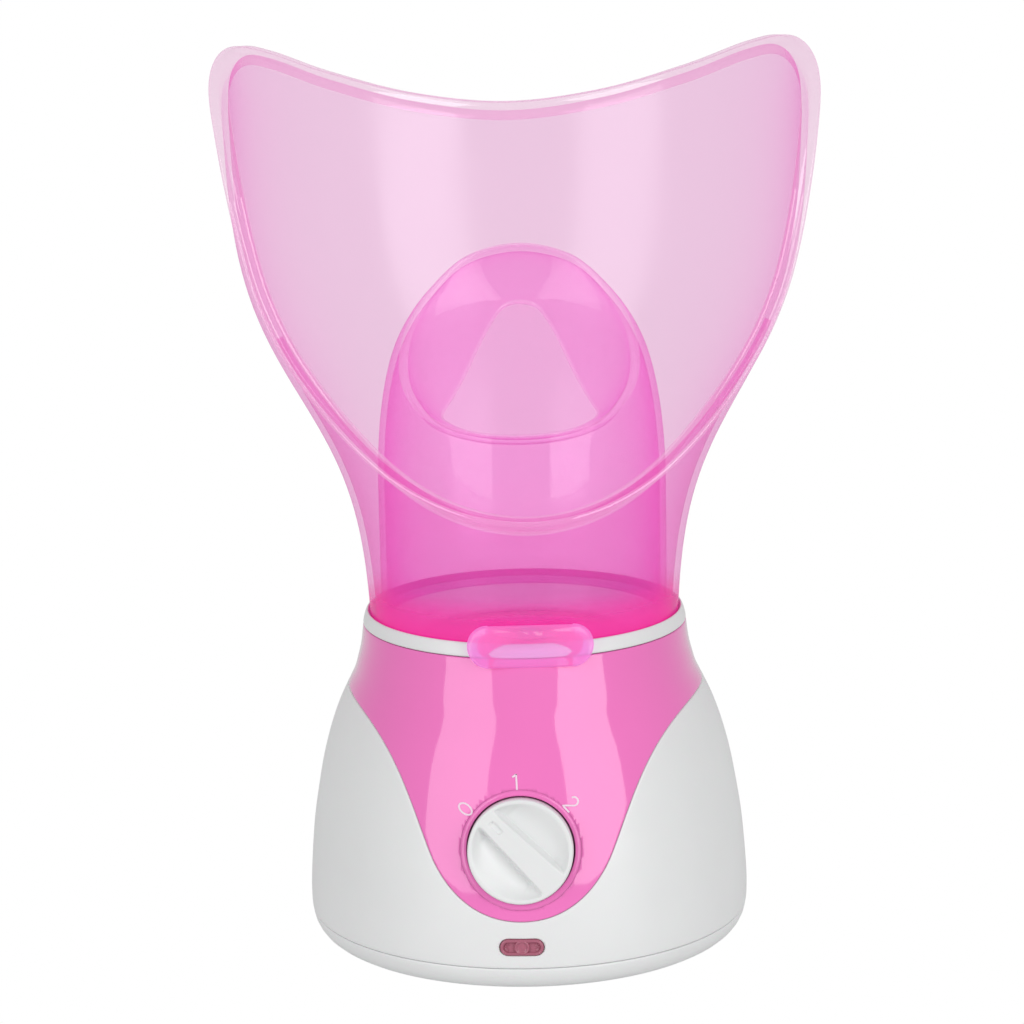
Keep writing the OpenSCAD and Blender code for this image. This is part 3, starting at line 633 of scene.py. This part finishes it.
def knob_height(x, y):
    """Height of the knob's face; y runs along the ridge towards the pointer."""
    r = math.hypot(x, y)
    painted_glow = KNOB_R - 1.3
    half = lerp(RIDGE_WIDE, RIDGE_NARROW, (y / KNOB_R + 1) / 2)
    reach = math.sqrt(max(painted_glow ** 2 - y ** 2, 0.0))
    side = abs(x)
    z = FACE
    if side > half and reach > half and side < reach:
        t = (side - half) / (reach - half)
        wall = min(t * (reach - half) / 1.5, 1.0)
        wall = wall * wall * (3 - 2 * wall)
        bowl = (1 - t * t) ** 1.2
        width = min((reach - half) / 8.0, 1.0)
        z -= SCOOP * wall * bowl * width
    if r > KNOB_R - CORNER:
        t = min((r - KNOB_R + CORNER) / CORNER, 1.0)
        z -= CORNER * (1 - math.sqrt(max(1 - t * t, 0.0)))
    slot_x = max(1 - (x / POINTER_W) ** 2, 0.0)
    slot_y = max(1 - ((y - POINTER_Y) / POINTER_L) ** 4, 0.0)
    z -= POINTER_DEEP * min(slot_x * slot_y * 3, 1.0)
    return z


def knob():
    place = KNOB_FRAME @ Matrix.Rotation(math.radians(45), 4, "Z")
    steps, circles = 240, 66
    rings = [
        circle_ring(KNOB_R - 1.6, SKIRT, steps, place), circle_ring(KNOB_R - 0.2, SKIRT, steps, place),
        circle_ring(KNOB_R, SKIRT + 0.2, steps, place),
    ]
    for i in range(circles, 0, -1):
        r = KNOB_R * i / circles
        ring = []
        for j in range(steps):
            a = 2 * math.pi * j / steps
            x, y = r * math.cos(a), r * math.sin(a)
            ring.append(place @ Vector((x, y, knob_height(x, y))))
        rings.append(ring)
    rings.append([place @ Vector((0, 0, knob_height(0, 0)))] * steps)
    rings += [circle_ring(r, -3.6, steps, place) for r in (0.01, KNOB_R - 1.6)]
    return skin("knob_cap", rings, KNOB, WHITE, replaces=["mode_knob"], slot="white_plastic")


# ---- Collar ----

def collar():
    profile = [
        (52.2, 104.75), (52.5, 104.95), (52.52, 105.3), (52.3, 106.4), (51.95, 107.6), (51.5, 108.7),
        (51.3, 109.0), (51.05, 109.15), (50.85, 109.05), (50.75, 108.8), (50.7, 105.8), (50.5, 105.6),
        (47.8, 105.6), (47.6, 105.8), (47.5, 107.3), (47.3, 107.55), (47.0, 107.55), (46.8, 107.3),
        (46.7, 105.8), (46.5, 105.6), (43.8, 105.6), (43.2, 105.4), (34.6, 100.6), (34.1, 100.2),
        (34.0, 99.8), (34.0, 98.5), (49.5, 98.5), (49.6, 98.7), (49.6, 104.65), (49.8, 104.7),
    ]
    return lathe(
        "collar_ring", profile, BASE, WHITE, steps=288, replaces=["collar"], slot="white_plastic",
    )


# ---- Nose mask ----

# Radius and thickness of the mask's wall, and the height from which it leans in
MASK_R, MASK_T, MASK_BEND = 46.5, 2.0, 150
LIP_R = 1.25
MASK_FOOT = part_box("nose_mask")[0].z / MM
# Along the right half, from the front: turns at the foot in degrees, and points of the lip and the hole
MASK_AT = [0, 20, 40, 60, 78, 92, 106, 128, 154, 180]
MASK_LIP = [
    (0, -46.2, 174.4), (14.5, -43.9, 175.2), (27, -37.6, 177.8), (33.6, -28, 182.4), (37.2, -18.2, 188.3),
    (37.7, -7, 195.3), (35.2, 2.4, 202.8), (28.6, 10.8, 212.2), (17.5, 17.4, 221.6), (0, 20, 225.2),
]
MASK_HOLE = [
    (0, -30, 170.8), (12, -29, 171.4), (20.9, -24.5, 173.6), (25, -18, 175.8), (22.2, -10, 179.8),
    (18, -2, 186.5), (13.8, 6, 194.3), (9.7, 12, 200.9), (5.5, 16, 205.6), (0, 17, 206.9),
]
# The way the mouth faces
MOUTH = Vector((0, -math.sin(math.radians(40)), math.cos(math.radians(40))))
MASK_COLUMNS = 240


def mask_column(j):
    """The turn at the foot of a column, and its points of the lip and of the hole, on the outer skin."""
    half = MASK_COLUMNS / 2
    u = (len(MASK_AT) - 1) * (j if j <= half else MASK_COLUMNS - j) / half
    side = 1 if j <= half else -1
    a = math.radians(half_turn([(v, 0) for v in MASK_AT], u).x) * side
    lip, hole = half_loop(MASK_LIP, u), half_loop(MASK_HOLE, u)
    lip.x *= side
    hole.x *= side
    return a, lip, hole


WALL_STEPS, DISH_STEPS, CREST_TURNS = 26, 30, range(0, 180, 20)


def mask_rings():
    columns = [mask_column(j) for j in range(MASK_COLUMNS)]

    def base(a, off):
        return Vector(((MASK_R - off) * math.sin(a), -(MASK_R - off) * math.cos(a), MASK_BEND))

    def inward_of(lip):
        return Vector((-lip.x, -8 - lip.y, 0)).normalized()

    def wall_end(lip, off):
        """Where the wall ends: below the rounded lip outside, or where the dish starts inside."""
        return lip + 1.2 * inward_of(lip) - 4.2 * MOUTH if off else lip - LIP_R * MOUTH

    def wall(a, lip, v, off):
        start, end = base(a, off), wall_end(lip, off)
        side, up = 1 - math.cos(math.radians(90 * v)), math.sin(math.radians(90 * v))
        return Vector((lerp(start.x, end.x, side), lerp(start.y, end.y, side), lerp(start.z, end.z, up)))

    def crest(lip, turn):
        """The lip's half-round top."""
        t = math.radians(turn)
        return lip + LIP_R * (1 - math.cos(t)) * inward_of(lip) - LIP_R * (1 - math.sin(t)) * MOUTH

    def dish(lip, hole, v, off):
        start = wall_end(lip, off) if off else crest(lip, 180)
        bend = start + inward_of(lip) - (1.5 if off else 3) * MOUTH
        end = hole - off * MOUTH
        return bezier([start, bend, end + 0.35 * (start - end) - 2 * MOUTH, end], v)

    def skin_rows(off):
        rows = [[Vector((*base(a, off).xy, MASK_FOOT)) for a, _, _ in columns]]
        rows += [[Vector((*base(a, off).xy, lerp(MASK_FOOT, MASK_BEND, 0.5))) for a, _, _ in columns]]
        rows += [[wall(a, lip, i / WALL_STEPS, off) for a, lip, _ in columns] for i in range(WALL_STEPS)]
        if not off:
            rows += [[crest(lip, turn) for _, lip, _ in columns] for turn in CREST_TURNS]
        rows += [
            [dish(lip, hole, i / DISH_STEPS, off) for _, lip, hole in columns] for i in range(DISH_STEPS + 1)
        ]
        return rows

    def hole_edge(hole, turn):
        """The hole's rounded edge: a half circle from the outer skin to the inner."""
        middle = Vector((0, -6, 190))
        inward = (middle - hole).normalized()
        t = math.radians(turn)
        return hole - MASK_T / 2 * MOUTH * (1 - math.cos(t)) + 0.8 * math.sin(t) * inward

    outer, painted_glow = skin_rows(0.0), skin_rows(MASK_T)
    edge = [[hole_edge(hole, turn) for _, _, hole in columns] for turn in (30, 60, 90, 120, 150)]
    return outer + edge + painted_glow[::-1]


def nose_mask():
    rings = [[turned(p, MASK_TURN) for p in ring] for ring in mask_rings()]
    mask = skin("mask_shell", rings, MASK, MASK_PLASTIC, replaces=["nose_mask"], slot="mask_plastic")
    mask.data.materials.append(LIP_HIGHLIGHT_PLASTIC)
    # The lip's crest rows and the hole's rounded edge get the lip plastic, a painted highlight.
    lip = 2 + WALL_STEPS
    hole = lip + len(CREST_TURNS) + DISH_STEPS
    for rows in ((lip - 1, hole - DISH_STEPS), (hole, hole + 6)):
        for face in mask.data.polygons[rows[0] * MASK_COLUMNS:rows[1] * MASK_COLUMNS]:
            face.material_index = 1
    return mask


# ---- Face hood ----

# Radius of the hood's foot, the width and depth that its wall flares out to, and its thickness
SKIRT_R, HOOD_W, HOOD_D, HOOD_T = 49.1, 185.9, 162.7, 2.0
# Height of the middle of the flare, and how gently it flares
BELL_Z, BELL_SOFT = 181, 19.5
HOOD_FOOT = 105.6
# The rim's right half as (turn from the front in degrees, height)
RIM = [
    (0, 147.5), (22, 151), (41, 160.5), (54, 174.3), (62, 192.3), (67, 214), (70.5, 234), (75, 252),
    (82, 269), (94, 281), (108, 286.9), (122, 284), (140, 275), (160, 266), (180, 262),
]
# Section of the rim's bead: (out of the wall, up off its edge), from the inside to the outside
BEAD = [
    (-2.3, -0.6), (-2.45, 0.4), (-2.3, 1.5), (-1.7, 2.4), (-0.7, 2.8), (0.3, 2.65), (1.2, 2.2),
    (2.1, 2.2), (2.9, 2.65), (3.5, 2.45), (3.8, 1.7), (3.5, 0.8), (2.6, 0.1), (1.4, -0.5), (0.5, -1.2),
]
# How far below the edge the wall ends, inside the bead
WALL_DROP = 3.4
HOOD_COLUMNS, HOOD_ROWS = 288, 44


def hood_point(turn, z, off=0.0):
    bell = 1 / (1 + math.exp((BELL_Z - z) / BELL_SOFT))
    a = math.radians(turn)
    w = SKIRT_R + (HOOD_W / 2 - SKIRT_R) * bell + off
    d = SKIRT_R + (HOOD_D / 2 - SKIRT_R) * bell + off
    return Vector((w * math.sin(a), -d * math.cos(a), z))


def hood_rings():
    half = HOOD_COLUMNS / 2
    rim = []
    for j in range(HOOD_COLUMNS):
        p = half_turn(RIM, (len(RIM) - 1) * (j if j <= half else HOOD_COLUMNS - j) / half)
        rim.append((p.x if j <= half else -p.x, p.y))
    edge = [hood_point(t, z) for t, z in rim]
    out, up = [], []
    for j, (t, z) in enumerate(rim):
        across = hood_point(t + 1, z) - hood_point(t - 1, z)
        along = hood_point(t, z + 1) - hood_point(t, z - 1)
        out.append(across.cross(along).normalized())
        tangent = edge[(j + 1) % HOOD_COLUMNS] - edge[j - 1]
        up.append(out[j].cross(tangent).normalized())

    ends = []
    for j, (t, _) in enumerate(rim):
        p = edge[j] - WALL_DROP * up[j]
        scale = hood_point(90, p.z).x / -hood_point(0, p.z).y
        moved = math.degrees(math.atan2(p.x, -p.y * scale))
        ends.append((t + (moved - t + 180) % 360 - 180, p.z))

    def wall(v, off):
        return [hood_point(lerp(t, u, v), lerp(HOOD_FOOT, z, v), off) for (t, _), (u, z) in zip(rim, ends)]

    outer = [wall(i / HOOD_ROWS, 0.0) for i in range(HOOD_ROWS + 1)]
    painted_glow = [wall(i / HOOD_ROWS, -HOOD_T) for i in range(HOOD_ROWS + 1)]
    bead = [
        [edge[j] + b.x * out[j] + b.y * up[j] for j in range(HOOD_COLUMNS)] for b in trace(BEAD, 2)
    ]
    return outer + bead[::-1] + painted_glow[::-1]


TAB_W, TAB_H, TAB_Z = 41.4, 13.6, 108.7
TAB_IN, TAB_OUT = 53.05, 55.6
# The plate's edge, from the inside to the outside: (inset from the outline, radius)
TAB_EDGE = [
    (3.0, TAB_IN), (0.5, TAB_IN), (0.1, 53.3), (0.0, 53.6), (0.0, 54.4), (0.15, 54.9), (0.5, 55.3),
    (1.1, 55.55), (2.0, TAB_OUT), (4.5, TAB_OUT),
]
BRIDGE_W, BRIDGE_H, BRIDGE_Z = 8.4, 3.8, 112.8
BRIDGE_IN, BRIDGE_OUT = 49.6, 54.0
# The tab's faces are those below this height and beyond this radius
TAB_BELOW, TAB_BEYOND = 120, 52.9


def bent(x, z, r):
    """A spot of the tab's flat outline, bent round the axis at radius r."""
    a = x / TAB_OUT
    return Vector((r * math.sin(a), -r * math.cos(a), z))


def hood_tab():
    """The finger tab: a rounded plate that stands in front of the collar."""
    outline = oblong_ring(TAB_W, TAB_H, 0, TAB_Z, 28)

    def ring(inset, r):
        points = []
        for p in outline:
            end = math.copysign((TAB_W - TAB_H) / 2, p.x) if abs(p.x) > (TAB_W - TAB_H) / 2 else p.x
            hub = Vector((end, 0, TAB_Z))
            q = hub + (p - hub) * (1 - inset / (TAB_H / 2))
            points.append(bent(q.x, q.z, r))
        return points

    return tool("tab", [ring(inset, r) for inset, r in TAB_EDGE])


def bridge():
    """The small bar that holds the tab to the hood."""
    outline = oblong_ring(BRIDGE_W, BRIDGE_H, 0, BRIDGE_Z, 12)
    return tool("bridge", [[bent(p.x, p.z, r) for p in outline] for r in (BRIDGE_IN, BRIDGE_OUT)])


def rim_slots():
    """The faces of the rim, and the material slot of each.

    The bead gets the whiter rim plastic, a painted highlight. The pink is deeper along the bead's inner
    edge, and at the front in its groove too, where the deeper pink is painted shade.
    """
    last = 2 * (len(BEAD) - 1)
    groove = range(HOOD_ROWS + last - 14, HOOD_ROWS + last - 9)
    for row in range(HOOD_ROWS, HOOD_ROWS + last + 2):
        for column in range(HOOD_COLUMNS):
            front = min(column, HOOD_COLUMNS - column) < HOOD_COLUMNS / 6
            deep = row >= HOOD_ROWS + last or front and row in groove
            yield row * HOOD_COLUMNS + column, 3 if deep else 1


def face_hood():
    shell = skin("hood_shell", hood_rings(), HOOD, HOOD_PLASTIC, replaces=["face_hood"], slot="hood_plastic")
    for material in (RIM_HIGHLIGHT_PLASTIC, TAB_PLASTIC, DEEP_PINK_AND_GROOVE_SHADE_PLASTIC):
        shell.data.materials.append(material)
    for face, slot in rim_slots():
        shell.data.polygons[face].material_index = slot
    cut(shell, hood_tab(), "UNION")
    cut(shell, bridge(), "UNION")
    for face in shell.data.polygons:
        if face.center.z < TAB_BELOW * MM and face.center.xy.length > TAB_BEYOND * MM:
            face.material_index = 2
    shell.data.transform(Matrix.Rotation(math.radians(HOOD_TURN), 4, "Z"))
    shell.data.shade_smooth()
    return shell


# ---- Lamp lens ----

def lamp_lens():
    lo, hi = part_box("lamp_lens")
    z = (lo.z + hi.z) / 2 / MM
    w, h = 13.7, 5.3
    front = lo.y / MM

    def loop(inset, depth):
        return oblong_ring(w - 2 * inset, h - 2 * inset, front + depth, z)

    # (inset from the outline, depth behind the front), from the back to the sunken face
    section = [
        (-1.2, 6.6), (-1.2, 3.8), (0, 3.8), (0, 0.5), (0.1, 0.15), (0.35, 0.0), (0.75, 0.0), (0.95, 0.15),
        (1.05, 0.5), (1.1, 0.8), (2.4, 0.8),
    ]
    rings = [loop(inset, depth) for inset, depth in section]
    plate = skin("lens_cap", rings, BASE, LENS, caps=True, replaces=["lamp_lens"], slot="lens_plastic")
    facing = Matrix.Translation((0, front + 0.8, z)) @ Matrix.Rotation(math.radians(90), 4, "X")
    boss = [
        (0.01, 0.55), (1.0, 0.5), (1.5, 0.35), (1.7, 0.7), (2.0, 0.95), (2.3, 0.8), (2.45, 0.3),
        (2.45, -0.4),
    ]
    rings = [circle_ring(r, v, 64, facing) for r, v in reversed(boss)]
    skin("lens_boss", rings, BASE, LENS, caps=True, slot="lens_plastic")
    for side in (-1, 1):
        for k in range(3):
            end = "left" if side < 0 else "right"
            arc_rib(f"lens_rib_{end}_{k + 1}", side, 0.6 + 0.45 * k, front, z)
    return plate


def arc_rib(name, side, r, front, z):
    """A thin raised arc at one end of the lens."""
    thick = 0.11
    hub = Vector((side * 3.9, 0, z))
    rings = []
    for i in range(17):
        a = math.radians(-80 + 160 * i / 16)
        way = Vector((side * math.cos(a), 0, math.sin(a)))
        ring = []
        for k in range(8):
            b = 2 * math.pi * k / 8
            depth = Vector((0, front + 0.75 - thick * math.sin(b), 0))
            ring.append(hub + way * (r + thick * math.cos(b)) + depth)
        rings.append(ring)
    return skin(name, rings, BASE, LENS, caps=True, slot="lens_plastic")


# ---- Dial numbers ----

def glyph(number):
    """Strokes of a number about 5 mm high, as lists of points."""
    if number == 0:
        turns = [math.radians(10 * k) for k in range(37)]
        return [[(1.45 * math.sin(a), 2.3 * math.cos(a)) for a in turns]]
    if number == 1:
        return [[(-1.15, 1.55), (-0.4, 1.95), (0.1, 2.45), (0.1, -2.45)]]
    turns = [math.radians(a) for a in range(165, -46, -15)]
    arc = [(1.35 * math.cos(a), 1.05 + 1.3 * math.sin(a)) for a in turns]
    return [arc + [(-1.45, -2.3), (1.55, -2.3)]]


def dial_number(number, turn, radius=21.4, half=0.3):
    """A number printed on the tongue, at a turn round the knob. half is half the width of its strokes."""
    spin = Matrix.Rotation(math.radians(turn), 2)
    centre = spin @ Vector((0, radius))
    points, faces = [], []
    for stroke in glyph(number):
        fine = []
        for a, b in zip(stroke, stroke[1:]):
            fine += [Vector(a).lerp(Vector(b), k / 4) for k in range(4)]
        fine.append(Vector(stroke[-1]))
        rings = []
        for k, p in enumerate(fine):
            way = (fine[min(k + 1, len(fine) - 1)] - fine[max(k - 1, 0)]).normalized()
            side = Vector((-way.y, way.x)) * half
            ring = []
            for q, lift in ((p - side, -0.05), (p + side, -0.05), (p + side, 0.05), (p - side, 0.05)):
                spot = centre + spin @ q
                on_base = surface_behind(spot.x, spot.y)
                ring.append(on_base + lift * Vector((on_base.x, on_base.y, 0)).normalized())
            rings.append(ring)
        start = len(points)
        for ring in rings:
            points += ring
        for face in capped_faces(rings):
            faces.append(tuple(start + v for v in face))
    piece = mesh_piece(f"dial_{number}", points, faces, BASE, PRINT, slot="white_plastic")
    piece.data.shade_flat()
    return piece


# ---- Stage, lights and camera ----

def stage():
    """A white floor that lights the object from below and fades out away from it.

    The camera doesn't see it, because the object stands on pure white.
    """
    mesh = bpy.data.meshes.new("floor")
    s = 1.5
    mesh.from_pydata([(-s, -s, 0), (s, -s, 0), (s, s, 0), (-s, s, 0)], [], [(0, 1, 2, 3)])
    floor = bpy.data.objects.new("floor", mesh)
    bpy.context.scene.collection.objects.link(floor)
    material, tree, shader = new_material("floor_white")
    shader.inputs["Base Color"].default_value = (0.92, 0.92, 0.92, 1)
    shader.inputs["Roughness"].default_value = 0.9
    shader.inputs["Specular IOR Level"].default_value = 0.0
    place = add(tree, "ShaderNodeTexCoord")
    length = add(tree, "ShaderNodeVectorMath", operation="LENGTH")
    tree.links.new(place.outputs["Object"], length.inputs[0])
    far = ramp(tree, length.outputs["Value"], 0.5, 1.0, 0.07, 0.24, smooth=True)
    gone = add(tree, "ShaderNodeBsdfTransparent")
    mixed = add(tree, "ShaderNodeMixShader")
    seen = add(tree, "ShaderNodeLightPath")
    tree.links.new(maths(tree, "MAXIMUM", seen.outputs["Is Camera Ray"], far), mixed.inputs[0])
    tree.links.new(shader.outputs[0], mixed.inputs[1])
    tree.links.new(gone.outputs[0], mixed.inputs[2])
    tree.links.new(mixed.outputs[0], tree.nodes["Material Output"].inputs["Surface"])
    floor.data.materials.append(material)


def softbox(name, turn, distance, height, width, tall, power):
    """A large soft light at a turn from the front, aimed at the middle of the object, in metres."""
    light = bpy.data.lights.new(name, "AREA")
    light.shape = "RECTANGLE"
    light.size, light.size_y = width, tall
    light.energy = power
    lamp = bpy.data.objects.new(name, light)
    a = math.radians(turn)
    lamp.location = (distance * math.sin(a), -distance * math.cos(a), height)
    aim = Vector((0, 0, 0.16)) - lamp.location
    lamp.rotation_euler = aim.to_track_quat("-Z", "Y").to_euler()
    bpy.context.scene.collection.objects.link(lamp)


def world(front, behind):
    """Even light from all round, brighter from behind.

    The bare background is pure white, and a light grey wherever it is seen through a clear wall.
    The floor counts as one surface, and a wall as two.
    """
    sky = bpy.data.worlds.new("studio")
    bpy.context.scene.world = sky
    sky.use_nodes = True
    tree = sky.node_tree
    back = tree.nodes["Background"]
    back.inputs["Color"].default_value = (1, 1, 1, 1)
    direction = add(tree, "ShaderNodeTexCoord")
    split = add(tree, "ShaderNodeSeparateXYZ")
    tree.links.new(direction.outputs["Generated"], split.inputs["Vector"])
    light = ramp(tree, split.outputs["Y"], front, behind, 0.3, 0.8)
    seen = add(tree, "ShaderNodeLightPath")
    covered = ramp(tree, seen.outputs["Transparent Depth"], 1.0, 0.85, 1.0, 2.0)
    level = add(tree, "ShaderNodeMix", data_type="FLOAT")
    tree.links.new(seen.outputs["Is Camera Ray"], level.inputs["Factor"])
    tree.links.new(light, level.inputs["A"])
    tree.links.new(covered, level.inputs["B"])
    tree.links.new(level.outputs["Result"], back.inputs["Strength"])


def camera():
    """The camera looks from slightly to the right and above, and leans a little."""
    distance, elevation, lean, azimuth = 1150.0, 12.42, 1.083, 2.3
    target = Vector((-3.42, 0, 140.08))
    e = math.radians(elevation)
    place = target + distance * Vector((0, -math.cos(e), math.sin(e)))
    forward = (target - place).normalized()
    right = Vector((1, 0, 0))
    up = right.cross(forward)
    r = math.radians(lean)
    x = math.cos(r) * right - math.sin(r) * up
    y = math.sin(r) * right + math.cos(r) * up
    around = Matrix.Rotation(math.radians(azimuth), 4, "Z")
    pose = Matrix((x, y, -forward)).transposed().to_4x4()
    pose.translation = place * MM
    data = bpy.data.cameras.new("camera")
    data.sensor_width = 36
    data.lens = 124.76
    data.clip_end = 30
    eye = bpy.data.objects.new("camera", data)
    eye.matrix_world = around @ pose
    bpy.context.scene.collection.objects.link(eye)
    bpy.context.scene.camera = eye


camera()
dress_cad_nodes()
pan_shell()
lower_shell()
upper_shell()
well()
knob()
collar()
nose_mask()
face_hood()
lamp_lens()
for value, angle in ((0, 53), (1, 3), (2, -48)):
    dial_number(value, angle)
stage()
softbox("softbox_left", -37, 1.3, 0.42, 0.80, 1.2, 6.5)
softbox("softbox_right", 40, 1.3, 0.45, 0.80, 1.2, 8.0)
world(0.48, 0.65)
bpy.context.scene.view_settings.view_transform = "Standard"
bpy.context.scene.cycles.transparent_max_bounces = 40
